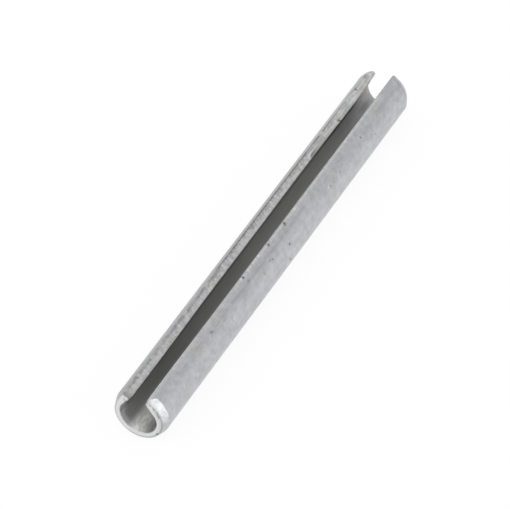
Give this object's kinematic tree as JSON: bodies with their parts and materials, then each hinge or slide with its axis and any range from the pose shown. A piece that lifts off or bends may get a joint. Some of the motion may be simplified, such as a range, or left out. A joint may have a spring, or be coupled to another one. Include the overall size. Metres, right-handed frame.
{
  "type": "slotted spring pin",
  "caption": "Straight slotted spring pin: a C-shaped rolled steel tube with a lengthwise slot and a lead chamfer at each end.",
  "frame": {"origin": "on the pin's own axis, midway between the two end faces", "axes": "+X along the pin from the front end to the back end, +Z out through the middle of the slot, which faces up at rest"},
  "size_m": [0.08, 0.0084, 0.0079],
  "materials": {
    "pin_steel": "matte grey, tumbled, with a fine mottle, small pits and brighter rubbed end chamfers"
  },
  "bodies": {
    "root": {"spring_pin": "pin_steel"}
  },
  "joints": []
}
